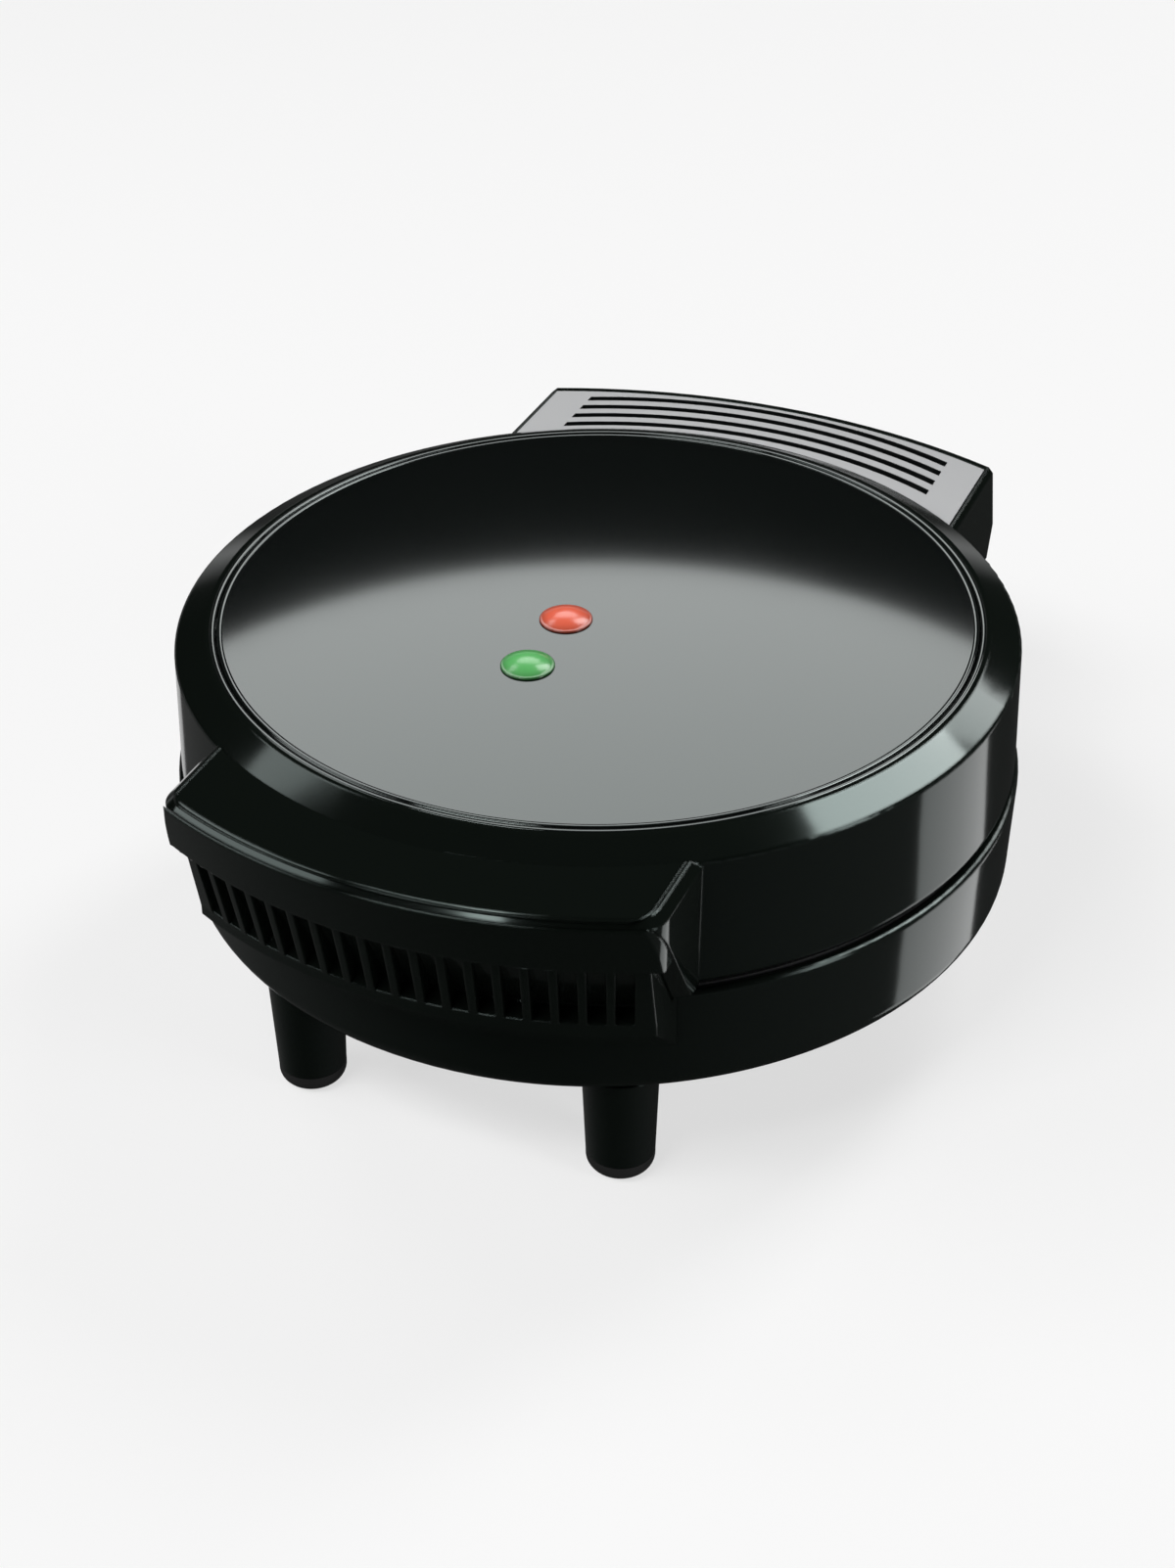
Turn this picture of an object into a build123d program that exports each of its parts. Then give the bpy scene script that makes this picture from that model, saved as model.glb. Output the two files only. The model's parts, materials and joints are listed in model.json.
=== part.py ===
from build123d import *
import os
from math import cos, radians, sin, sqrt, tan

os.makedirs("parts", exist_ok=True)

# Countertop omelette maker: a round base on four tall feet and a round lid hinged at the back.
# Millimetres. Z is up from the table, the handle points to -Y and the hinge is at +Y.
# Shapes are drawn with the round body's centre on the Z axis; save() then moves each one
# so that the middle of the whole object's footprint is on it.

# Walls and fits
wall = 2.5
seat_gap = 0.3
pin_fit = 0.03
running_fit = 0.05
lug_side_gap = 0.6
screw_fit = 0.1

# Heights, stacked from the table up
foot_length = 31.0
base_height = 29.0
parting_gap = 1.4
lid_wall_height = 33.1
lid_bevel_rise = 3.7

base_bottom_z = foot_length
base_top_z = base_bottom_z + base_height
lid_bottom_z = base_top_z + parting_gap
shoulder_z = lid_bottom_z + lid_wall_height
lid_top_z = shoulder_z + lid_bevel_rise

# Round body
base_top_radius = 107.2
base_bottom_radius = 106.3
base_bottom_round = 5.0
base_lip_round = 1.2
lid_lip_radius = 106.2
lid_lip_round = 2.2
shoulder_radius = 105.0
shoulder_round = 1.0
lid_top_radius = 97.2
lid_edge_round = 0.7

# Glossy disc set into the lid
disc_radius = 94.5
disc_thickness = 2.4
disc_crown = 0.5
disc_edge_round = 0.6
disc_ledge_width = 7.2

# Cooking plates
plate_thickness = 2.2
flange_thickness = 2.5
plates_gap = 0.4
lower_pocket_depth = 12.0
upper_pocket_depth = 9.0
pocket_radius = 85.0
pocket_divider = 14.0
pocket_corner_radius = 16.0
pocket_draft = 18.0
pocket_floor_round = 4.0
plate_ledge_width = 7.0
plate_ledge_thickness = 2.0
boss_radius = 4.4
boss_circle_radius = 91.5
boss_count = 4
screw_radius = 2.0
screw_head_radius = 3.6
screw_head_height = 2.2
screw_slot_width = 0.8
screw_slot_depth = 0.6

# Heating
element_radius = 58.0
element_tube_radius = 3.2
element_opening_angle = 50.0
element_pin_radius = 1.6
element_pin_length = 9.0
element_gap = 0.2
reflector_radius = 99.0
reflector_thickness = 0.8
reflector_rim = 10.0
strap_width = 9.0
strap_thickness = 0.8
strap_length = 22.0
strap_angles = (0, 135, 225)
thermostat_radius = 8.5
thermostat_height = 6.0
blade_length = 6.0
blade_height = 3.0
fuse_radius = 2.2
fuse_length = 13.0

# Front handle: a wedge on the lid that lies in a ribbed lower handle
handle_half_width = 61.0
handle_reach = 124.9
handle_arc_radius = 140.4
handle_corner_radius = 8.0
handle_top_drop = -1.0
handle_bevel = 2.2
handle_back_y = -78.0
parting_slope_run = 17.0
seam_gap = 0.7
seam_lip = 1.2
rim_height = 14.0
rim_taper = 2.8
rim_overhang = 2.2
rim_side_overhang = 3.5
rim_round = 1.0
plan_ease = 0.3
grip_height = 19.3
grip_taper = 3.6
grip_corner_radius = 3.0
sill_height = 2.6
grip_belly = 15.0
flute_count = 18
flute_half_span = 24.2
fin_width = 1.9
flute_depth = 4.6
flute_top_depth = 0.8
flute_floor_rise = 2.4
flute_land = 0.5

# Rear housing of the lid and its vent panel
housing_half_width = 67.0
housing_reach = 138.0
housing_arc_radius = 170.0
housing_top_drop = 4.7
housing_flare_height = 17.5
housing_flare = 4.0
housing_bevel = 1.3
housing_front_y = 60.0
panel_border = 2.1
panel_front_gap = 4.0
panel_thickness = 1.5
panel_ledge = 3.0
slot_count = 4
slot_half_length = 54.2
slot_width = 2.4
slot_pitch = 5.3
slot_first_radius = 117.4

# Hinge
hinge_y = 118.0
hinge_drop = 0.8
lug_radius = 5.5
lug_centre_x = 41.0
lug_width = 10.8
knuckle_width = 4.0
knuckle_front_y = 88.0
rear_root_y = 94.0
neck_run = 2.0
pin_radius = 2.0
lid_opening_angle = 103.0
stop_gap = 1.2
housing_chin_y = 128.0
chin_reach = 19.5

# Rear block of the base
block_half_width = 58.0
block_floor_reach = 121.0

# Feet
foot_x = 41.6
foot_y = 85.3
foot_top_radius = 9.3
foot_tip_radius = 8.4
foot_tip_height = 5.0
foot_tip_round = 3.4
foot_stem_radius = 4.0
foot_stem_height = 4.0
foot_screw_length = 12.0

# Lamps
lamp_x = -4.6
lamp_red_y = -9.2
lamp_green_y = -32.3
lens_radius = 6.0
lens_rim_radius = 6.6
lens_rim_height = 0.5
lens_dome_height = 1.7
lens_depth = 5.0
socket_length = 6.5
bulb_radius = 2.6
bulb_tip_round = 2.3

# Mains parts in the base
terminal_length = 30.0
terminal_width = 12.0
terminal_height = 9.0
terminal_hole_radius = 1.7
terminal_pitch = 9.0
terminal_margin = 2.0
gland_z = 40.5
gland_y = 108.0
gland_radius = 6.0
gland_flange_radius = 7.6
gland_flange_thickness = 2.0
gland_bore_radius = 3.6

# Vents in the floor of the base
vent_count = 16
vent_radius = 62.0
vent_length = 18.0
vent_width = 3.0

hinge_z = lid_bottom_z - hinge_drop
handle_arc_y = handle_arc_radius - handle_reach
handle_top_z = shoulder_z - handle_top_drop
housing_top_z = shoulder_z - housing_top_drop
housing_arc_y = housing_reach - housing_arc_radius
flare_bottom_z = housing_top_z - housing_flare_height
flange_bottom_z = base_top_z + plates_gap - flange_thickness
lower_flange_top_z = flange_bottom_z + flange_thickness
upper_flange_bottom_z = lower_flange_top_z + plates_gap
upper_flange_top_z = upper_flange_bottom_z + flange_thickness
base_inner_radius = base_top_radius - wall
lid_inner_radius = lid_lip_radius - wall
disc_ledge_z = lid_top_z - disc_thickness
disc_seat_radius = disc_radius + seat_gap
lower_floor_z = lower_flange_top_z - lower_pocket_depth - plate_thickness
upper_roof_z = upper_flange_bottom_z + upper_pocket_depth + plate_thickness
base_floor_z = base_bottom_z + wall
housing_flare_run = housing_flare_height * tan(radians(housing_flare))
footprint_middle_y = (housing_reach + housing_flare_run - handle_reach) / 2


def turned(points, radii, centre_y=0.0):
    """Solid turned about a vertical axis from (radius, height) points."""
    outline = FilletPolyline(*points, radius=radii, close=True)
    face = make_face(Plane.XZ * outline)
    return Pos(0, centre_y, 0) * revolve(face, Axis.Z)


def side_extrusion(points, radii, half_width):
    """Prism along X, both ways from the middle, from (y, z) points."""
    outline = FilletPolyline(*points, radius=radii, close=True)
    return extrude(Plane.YZ * make_face(outline), half_width, both=True)


def upright(radius, bottom_z, top_z, x=0.0, y=0.0):
    """Upright round bar between two heights."""
    return Pos(x, y, bottom_z) * extrude(Circle(radius), top_z - bottom_z)


def cross_bar(radius, start_x, end_x, y, z):
    """Round bar along X."""
    length = end_x - start_x
    return Pos(start_x, y, z) * Rot(0, 90, 0) * extrude(Circle(radius), length)


def boss_places():
    """Places of the plate screws: four, on the lines of the handle and across it."""
    step = 360.0 / boss_count
    angles = [radians(step * i) for i in range(boss_count)]
    return [(boss_circle_radius * cos(a), boss_circle_radius * sin(a)) for a in angles]


def save(name, shape):
    """Write one piece, moved to the middle of the footprint."""
    export_step(Pos(0, -footprint_middle_y, 0) * shape, f"parts/{name}.step")


# Plan outlines

def handle_plan(half_width, reach_cut, corner):
    """Plan of the front handle: straight sides, a bowed front and rounded corners."""
    radius = handle_arc_radius - reach_cut
    bow = Pos(0, handle_arc_y) * Circle(radius)
    front = Pos(0, handle_back_y - radius / 2) * Rectangle(2 * half_width, radius)
    plan = bow & front
    corners = plan.vertices().sort_by(Axis.Y)[:2]
    return fillet(corners, corner)


def housing_plan(side_cut, rear_cut):
    """Plan of the rear housing: straight sides and a bowed back."""
    radius = housing_arc_radius - rear_cut
    bow = Pos(0, housing_arc_y) * Circle(radius)
    length = housing_arc_radius
    width = 2 * (housing_half_width - side_cut)
    back = Pos(0, housing_front_y + length / 2) * Rectangle(width, length)
    return bow & back


def panel_plan(clearance):
    """Plan of the vent panel, which follows the lid in front and the housing behind."""
    plan = housing_plan(panel_border + clearance, panel_border + clearance)
    return plan - Circle(shoulder_radius + panel_front_gap + clearance)


# Lid

def parting_cone(grow):
    """Solid inside the sloping seam between the two halves of the handle."""
    top = handle_arc_radius - seam_gap + grow
    bottom = top - parting_slope_run
    knee_z = handle_top_z - seam_lip
    points = [(0, lid_bottom_z), (bottom, lid_bottom_z), (top, knee_z),
              (top, handle_top_z + wall), (0, handle_top_z + wall)]
    return turned(points, 0, handle_arc_y)


def lid_wedge():
    """Upper half of the handle: flat on top, sloping up to the front underneath."""
    plan = handle_plan(handle_half_width, seam_gap, handle_corner_radius)
    height = handle_top_z - lid_bottom_z
    block = Pos(0, 0, lid_bottom_z) * extrude(plan, height)
    rim = block.faces().sort_by(Axis.Z)[-1].edges()
    sides = rim.filter_by(Axis.Y)
    block = chamfer(sides, handle_bevel)
    return block & parting_cone(0)


def lid_housing_outer():
    """Outside of the rear housing: flared down to the flare line, then drawn in."""
    top = Pos(0, 0, housing_top_z) * housing_plan(0, 0)
    upper = extrude(top, -housing_flare_height, taper=-housing_flare)
    side_edges = upper.faces().sort_by(Axis.Z)[-1].edges().filter_by(Axis.Y)
    upper = chamfer(side_edges, housing_bevel)
    grow = housing_flare_run
    middle = Pos(0, 0, flare_bottom_z) * housing_plan(-grow, -grow)
    lower = extrude(middle, lid_bottom_z - flare_bottom_z, taper=housing_flare)
    outer = upper + lower
    chin = side_extrusion(chin_cut(0), 0, housing_half_width + wall + grow)
    return outer - chin


def chin_cut(inset):
    """Outline of what is cut away below the sloping chin of the housing, as (y, z)."""
    low = (housing_chin_y - inset, lid_bottom_z)
    high = (hinge_y + chin_reach - inset, flare_bottom_z)
    far = housing_reach + housing_flare_height
    return [(low[0], low[1] - wall), low, high, (far, high[1]), (far, low[1] - wall)]


def lid_housing_inner():
    """Hollow of the rear housing, between the round wall of the lid and the back."""
    hollow = Pos(0, 0, lid_bottom_z - wall) * extrude(
        housing_plan(wall, wall), housing_top_z - panel_thickness - lid_bottom_z)
    round_body = upright(lid_lip_radius - seat_gap, lid_bottom_z - 2 * wall, lid_top_z)
    chin = side_extrusion(chin_cut(wall), 0, housing_half_width + wall)
    return hollow - round_body - chin


def knuckle(x):
    """Rib in the housing that carries the pin."""
    low = hinge_z
    high = housing_top_z - panel_thickness
    front = knuckle_front_y
    points = [(front, lid_bottom_z + wall), (hinge_y - lug_radius, low), (hinge_y + lug_radius, low),
              (hinge_y + lug_radius, high), (front, high)]
    web = Pos(x, 0, 0) * side_extrusion(points, 0, knuckle_width / 2)
    eye = cross_bar(lug_radius, x - knuckle_width / 2, x + knuckle_width / 2, hinge_y, hinge_z)
    return web + eye


def knuckle_places():
    """Middles of the four knuckles, one each side of each lug."""
    step = lug_width / 2 + lug_side_gap + knuckle_width / 2
    return [side * (lug_centre_x + way * step) for side in (-1, 1) for way in (-1, 1)]


def lid_round_wall():
    """Round part of the lid: wall, bevelled top edge, disc seat and plate ledge."""
    ledge_top = upper_flange_top_z + plate_ledge_thickness
    seat = disc_seat_radius
    points = [
        (lid_inner_radius, lid_bottom_z), (lid_lip_radius, lid_bottom_z),
        (shoulder_radius, shoulder_z), (lid_top_radius, lid_top_z), (seat, lid_top_z),
        (seat, disc_ledge_z), (seat - disc_ledge_width, disc_ledge_z),
        (seat - disc_ledge_width, disc_ledge_z - wall), (seat, disc_ledge_z - wall),
        (shoulder_radius - wall, shoulder_z - wall / 2), (lid_inner_radius, ledge_top),
        (lid_inner_radius - plate_ledge_width, ledge_top),
        (lid_inner_radius - plate_ledge_width, upper_flange_top_z),
        (lid_inner_radius, upper_flange_top_z)]
    radii = [0, lid_lip_round, shoulder_round, lid_edge_round, lid_edge_round / 2] + [0] * 9
    return turned(points, radii)


def lid_leg(x, y):
    """Leg under the disc ledge, down to the reflector, for a plate screw."""
    return upright(boss_radius, upper_reflector_z() + reflector_thickness, disc_ledge_z - wall / 2, x, y)


def upper_reflector_z():
    return upper_roof_z + 2 * element_tube_radius + 2 * element_gap + strap_thickness + wall


def make_lid_shell():
    shell = lid_round_wall()
    outside_round = upright(lid_inner_radius + wall / 2, lid_bottom_z - wall, lid_top_z + wall)
    shell += lid_wedge() - outside_round
    housing = lid_housing_outer() - outside_round - lid_housing_inner()
    recess = Pos(0, 0, housing_top_z - panel_thickness) * extrude(panel_plan(-seat_gap), 2 * wall)
    window = Pos(0, 0, housing_top_z - 3 * wall) * extrude(panel_plan(panel_ledge), 4 * wall)
    shell += housing - recess - window
    for x in knuckle_places():
        shell += knuckle(x) - outside_round
    for x, y in boss_places():
        shell += lid_leg(x, y)
        shell -= upright(screw_radius + screw_fit, lid_bottom_z + wall, lid_top_z, x, y)
        shell -= upright(screw_head_radius + screw_fit, disc_ledge_z - screw_head_height, lid_top_z, x, y)
    shell -= cross_bar(pin_radius + running_fit, -housing_half_width + wall,
                       housing_half_width - wall, hinge_y, hinge_z)
    return shell


def lamp_places():
    return [(lamp_x, lamp_red_y), (lamp_x, lamp_green_y)]


def make_lid_disc():
    """Slightly domed round disc with two lamp holes."""
    edge = disc_radius - disc_edge_round
    points = [(0, disc_ledge_z), (disc_radius, disc_ledge_z), (disc_radius, lid_top_z - disc_edge_round),
              (edge, lid_top_z), (edge / 2, lid_top_z + disc_crown * 3 / 4), (0, lid_top_z + disc_crown)]
    disc = turned(points, 0)
    for x, y in lamp_places():
        disc += upright(lens_rim_radius + wall / 2, disc_ledge_z - lens_depth, disc_ledge_z + wall / 2, x, y)
        disc -= upright(lens_radius + seat_gap, disc_ledge_z - 2 * lens_depth, lid_top_z + wall, x, y)
    return disc


def make_lens(x, y):
    """Domed lamp lens with a flat rim that rests on the disc."""
    rim_z = lid_top_z + disc_crown
    body = upright(lens_radius, disc_ledge_z - lens_depth, rim_z + lens_rim_height, x, y)
    rim = upright(lens_rim_radius, rim_z, rim_z + lens_rim_height, x, y)
    dome_radius = (lens_radius ** 2 + lens_dome_height ** 2) / (2 * lens_dome_height)
    dome = Pos(x, y, rim_z + lens_rim_height + lens_dome_height - dome_radius) * Sphere(dome_radius)
    cap = dome & upright(lens_radius, rim_z, rim_z + 2 * lens_dome_height + lens_rim_height, x, y)
    return body + rim + cap


def make_lamp_sockets():
    """Cups under the lenses that hold the lamps."""
    top = disc_ledge_z - lens_depth - seat_gap
    solids = []
    for x, y in lamp_places():
        cup = upright(lens_radius, top - socket_length, top, x, y)
        cup -= upright(bulb_radius + seat_gap, top - socket_length + wall / 2, top + wall, x, y)
        solids.append(cup)
    return Compound(solids)


def make_lamp_bulbs():
    """Small glow lamps standing in their cups."""
    low = disc_ledge_z - lens_depth - seat_gap - socket_length + wall / 2 + seat_gap
    solids = []
    for x, y in lamp_places():
        bulb = upright(bulb_radius, low, low + socket_length - wall / 2 - seat_gap, x, y)
        solids.append(fillet(bulb.edges().sort_by(Axis.Z)[-1], bulb_tip_round))
    return Compound(solids)


def make_vent_panel():
    """Insert of the rear housing with four slots that follow the round of the lid."""
    panel = extrude(panel_plan(0), panel_thickness)
    for i in range(slot_count):
        middle = slot_first_radius + i * slot_pitch
        ring = Circle(middle + slot_width / 2) - Circle(middle - slot_width / 2)
        strip = Pos(0, middle) * Rectangle(2 * slot_half_length, middle)
        panel -= Pos(0, 0, -wall) * extrude(ring & strip, 3 * wall)
    return Pos(0, 0, housing_top_z - panel_thickness) * panel


# Cooking plates

def pocket_plan(side, grow):
    """Half-moon plan of one cooking pocket, on one side of the divider."""
    moon = Circle(pocket_radius + grow)
    inner_x = pocket_divider / 2 - grow
    half = Pos(side * (inner_x + pocket_radius), 0) * Rectangle(2 * pocket_radius, 3 * pocket_radius)
    plan = moon & half
    corners = plan.vertices()
    return fillet(corners, pocket_corner_radius + grow)


def pocket_solid(side, grow, depth):
    """Drafted half-moon block from height 0 down, with a rounded floor edge."""
    block = extrude(pocket_plan(side, grow), -depth, taper=pocket_draft)
    floor_edges = block.faces().sort_by(Axis.Z)[0].edges()
    return fillet(floor_edges, pocket_floor_round + grow / 2)


def cooking_plate(depth):
    """Plate with its cooking face at height 0 and its pockets hanging down."""
    plate = Pos(0, 0, -flange_thickness) * extrude(Circle(base_inner_radius - seat_gap), flange_thickness)
    for side in (-1, 1):
        plate += pocket_solid(side, plate_thickness, depth + plate_thickness)
        plate -= pocket_solid(side, 0, depth)
    return plate


def make_lower_plate():
    plate = Pos(0, 0, lower_flange_top_z) * cooking_plate(lower_pocket_depth)
    for x, y in boss_places():
        plate += upright(boss_radius, lower_reflector_z() + reflector_thickness, flange_bottom_z + wall / 2, x, y)
        plate -= upright(screw_radius + screw_fit, base_bottom_z, lower_flange_top_z - wall / 2, x, y)
    return plate


def make_upper_plate():
    turned_over = Rot(0, 180, 0) * cooking_plate(upper_pocket_depth)
    plate = Pos(0, 0, upper_flange_bottom_z) * turned_over
    trim = upright(lid_inner_radius - seat_gap, upper_flange_bottom_z - wall, lid_top_z)
    plate = plate & trim
    for x, y in boss_places():
        plate += upright(boss_radius, upper_flange_top_z - wall / 2, upper_reflector_z(), x, y)
        plate -= upright(screw_radius + screw_fit, upper_flange_bottom_z + wall / 2, lid_top_z, x, y)
    return plate


# Heating

def element(height):
    """Tubular element bent to an open ring, with a thin pin out of each end."""
    half = element_opening_angle / 2
    start = 90 + half
    sweep_angle = 360 - element_opening_angle
    path = CenterArc((0, 0), element_radius, start, sweep_angle)
    section = (path ^ 0) * Circle(element_tube_radius)
    tube = sweep(section, path)
    for t in (0, 1):
        end = path @ t
        way = (path % t) * (1 if t else -1)
        pin = Plane(origin=end, z_dir=way) * extrude(Circle(element_pin_radius), element_pin_length)
        tube += pin
    return Pos(0, 0, height) * tube


def lower_element_z():
    return lower_floor_z - element_gap - element_tube_radius


def upper_element_z():
    return upper_roof_z + element_gap + element_tube_radius


def lower_reflector_z():
    return lower_floor_z - 2 * element_tube_radius - 2 * element_gap - strap_thickness - wall


def straps(seat_z, up):
    """Three straps across the element, their legs standing on the plate at seat_z."""
    leg_height = 2 * (element_tube_radius + element_gap)
    leg_z = seat_z + up * leg_height / 2
    bridge_z = seat_z + up * (leg_height + strap_thickness / 2)
    solids = []
    for angle in strap_angles:
        strap = Pos(element_radius, 0, bridge_z) * Box(strap_length, strap_width, strap_thickness)
        for way in (-1, 1):
            leg_x = element_radius + way * (strap_length / 2 - strap_thickness)
            strap += Pos(leg_x, 0, leg_z) * Box(2 * strap_thickness, strap_width, leg_height)
        solids.append(Rot(0, 0, angle) * strap)
    return Compound(solids)


def reflector(floor_z, up):
    """Shallow pan with its rim on the plate's side and holes for the bosses' screws."""
    t = up * reflector_thickness
    far = floor_z if up > 0 else floor_z + reflector_thickness
    points = [(0, far), (reflector_radius, far), (reflector_radius, far + up * reflector_rim),
              (reflector_radius - reflector_thickness, far + up * reflector_rim),
              (reflector_radius - reflector_thickness, far + t), (0, far + t)]
    pan = turned(points, 0)
    for x, y in boss_places():
        pan -= upright(screw_radius + screw_fit, floor_z - wall, floor_z + 2 * wall, x, y)
    return pan


def make_thermostat():
    """Snap-disc thermostat under the floor of a lower pocket."""
    top = lower_floor_z - seat_gap
    body = upright(thermostat_radius, top - thermostat_height, top, -thermostat_x(), 0)
    cap = upright(thermostat_radius - wall / 2, top - thermostat_height - wall / 2, top, -thermostat_x(), 0)
    for way in (-1, 1):
        blade = Pos(-thermostat_x(), way * thermostat_radius / 2, top - thermostat_height - wall / 2) * Box(
            blade_length, strap_thickness, blade_height)
        cap += blade
    return body + cap


def thermostat_x():
    return element_radius / 2


def make_thermal_fuse():
    """Thermal fuse with its leads, lying under the floor of the other pocket."""
    x = thermostat_x()
    z = lower_floor_z - seat_gap - fuse_radius
    fuse = cross_bar(fuse_radius, x - fuse_length / 2, x + fuse_length / 2, 0, z)
    fuse += cross_bar(fuse_radius / 4, x - fuse_length, x + fuse_length, 0, z)
    return fuse


# Base

def make_base_shell():
    ledge_bottom = flange_bottom_z - plate_ledge_thickness
    ledge_inner = base_inner_radius - plate_ledge_width
    points = [
        (0, base_bottom_z), (base_bottom_radius, base_bottom_z), (base_top_radius, base_top_z),
        (base_inner_radius, base_top_z), (base_inner_radius, flange_bottom_z),
        (ledge_inner, flange_bottom_z), (ledge_inner, ledge_bottom),
        (base_inner_radius - seat_gap, ledge_bottom), (base_bottom_radius - wall, base_floor_z),
        (0, base_floor_z)]
    radii = [0, base_bottom_round, base_lip_round, 0, 0, 0, 0, 0, base_bottom_round / 2, 0]
    shell = turned(points, radii)
    outside_round = upright(base_inner_radius + wall / 4, base_floor_z - 2 * wall, base_top_z)
    block = side_extrusion(block_outline(0), 0, block_half_width) - outside_round
    shell += block
    hollow = side_extrusion(block_outline(wall), 0, block_half_width - wall)
    shell -= hollow
    for side in (-1, 1):
        shell += lug(side * lug_centre_x) - outside_round
    for x, y in boss_places():
        shell += upright(boss_radius, base_floor_z - wall / 2, lower_reflector_z(), x, y)
        shell -= upright(screw_radius + screw_fit, base_bottom_z - wall, base_top_z, x, y)
        shell -= upright(screw_head_radius + screw_fit, base_bottom_z - wall,
                         base_bottom_z + screw_head_height, x, y)
    for i in range(vent_count):
        vent = Rot(0, 0, 360.0 / vent_count * (i + 0.5)) * Pos(vent_radius, 0, base_bottom_z) * extrude(
            SlotOverall(vent_length, vent_width), 2 * wall, both=True)
        shell -= vent
    for x, y in foot_places():
        shell -= upright(screw_radius + screw_fit, base_bottom_z - wall, base_floor_z + wall, x, y)
    shell -= cross_bar(pin_radius + pin_fit, -housing_half_width, housing_half_width, hinge_y, hinge_z)
    shell -= cross_bar(gland_radius + seat_gap, 0, housing_half_width, gland_y, gland_z)
    return shell


def block_outline(inset):
    """Side outline of the rear block, as (y, z): its back slopes to clear the open lid."""
    angle = radians(lid_opening_angle)

    def opened(y, z):
        dy = y - hinge_y
        dz = z - hinge_z
        return (hinge_y + dy * cos(angle) + dz * sin(angle),
                hinge_z - dy * sin(angle) + dz * cos(angle))

    low_y, low_z = opened(housing_chin_y, lid_bottom_z)
    high_y, high_z = opened(hinge_y + chin_reach, flare_bottom_z)
    length = sqrt((high_y - low_y) ** 2 + (high_z - low_z) ** 2)
    off = stop_gap + inset
    shift_y = off * (high_z - low_z) / length
    shift_z = off * (low_y - high_y) / length
    top = (low_y + shift_y, low_z + shift_z)
    bottom = (high_y + shift_y, high_z + shift_z)
    front = rear_root_y
    neck_z = base_top_z - neck_run - inset
    neck = (hinge_y - 2 * lug_radius + neck_run, neck_z)
    return [(front, base_bottom_z + inset), (block_floor_reach - inset, base_bottom_z + inset),
            bottom, top, neck, (front, neck_z)]


def lug(x):
    """Arm of the base that carries a pin."""
    front = rear_root_y
    low = base_top_z - 2 * lug_radius
    points = [(front, low), (hinge_y - lug_radius, low + wall), (hinge_y, hinge_z - lug_radius),
              (hinge_y, hinge_z + lug_radius), (hinge_y - 2 * lug_radius + neck_run, base_top_z),
              (front, base_top_z)]
    arm = Pos(x, 0, 0) * side_extrusion(points, 0, lug_width / 2)
    eye = cross_bar(lug_radius, x - lug_width / 2, x + lug_width / 2, hinge_y, hinge_z)
    return arm + eye


def foot_places():
    return [(sx * foot_x, sy * foot_y) for sy in (-1, 1) for sx in (-1, 1)]


def make_foot(x, y):
    """Tapered foot with a socket for its rubber tip and a hole for its screw."""
    points = [(0, foot_tip_height), (foot_tip_radius, foot_tip_height),
              (foot_top_radius, base_bottom_z), (0, base_bottom_z)]
    foot = Pos(x, y, 0) * turned(points, 0)
    foot -= upright(foot_stem_radius + seat_gap, 0, foot_tip_height + foot_stem_height + seat_gap, x, y)
    foot -= upright(screw_radius + screw_fit, base_bottom_z - foot_screw_length, base_bottom_z + wall, x, y)
    return foot


def make_foot_tips():
    """Rubber tips of the feet, rounded where they meet the table."""
    solids = []
    for x, y in foot_places():
        points = [(0, 0), (foot_tip_radius, 0), (foot_tip_radius, foot_tip_height),
                  (foot_stem_radius, foot_tip_height), (foot_stem_radius, foot_tip_height + foot_stem_height),
                  (0, foot_tip_height + foot_stem_height)]
        solids.append(Pos(x, y, 0) * turned(points, [0, foot_tip_round, 0, 0, 0, 0]))
    return Compound(solids)


def screw(x, y, head_z, length, down):
    """Pan-head screw whose head seat is at head_z and whose shank runs down or up."""
    way = -1 if down else 1
    shank_end = head_z + way * length
    low = min(head_z, shank_end)
    high = max(head_z, shank_end)
    shank = upright(screw_radius, low, high, x, y)
    head_far = head_z - way * screw_head_height
    head = upright(screw_head_radius, min(head_z, head_far), max(head_z, head_far), x, y)
    slot = Pos(x, y, head_far) * Box(
        2 * screw_head_radius, screw_slot_width, 2 * screw_slot_depth)
    return shank + head - slot


def make_lower_screws():
    length = flange_bottom_z - base_bottom_z - screw_head_height - wall
    return Compound([
        screw(x, y, base_bottom_z + screw_head_height, length, False) for x, y in boss_places()])


def make_upper_screws():
    head = disc_ledge_z - screw_head_height
    length = head - upper_flange_top_z - wall
    return Compound([screw(x, y, head, length, True) for x, y in boss_places()])


def make_foot_screws():
    return Compound([
        screw(x, y, base_floor_z, foot_screw_length, True) for x, y in foot_places()])


def make_hinge_pins():
    """Two pins, one through each lug and its knuckles."""
    half = lug_width / 2 + lug_side_gap + knuckle_width
    solids = []
    for side in (-1, 1):
        middle = side * lug_centre_x
        pin = cross_bar(pin_radius, middle - half, middle + half, hinge_y, hinge_z)
        solids.append(chamfer(pin.edges().filter_by(GeomType.CIRCLE), pin_radius / 4))
    return Compound(solids)


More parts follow.
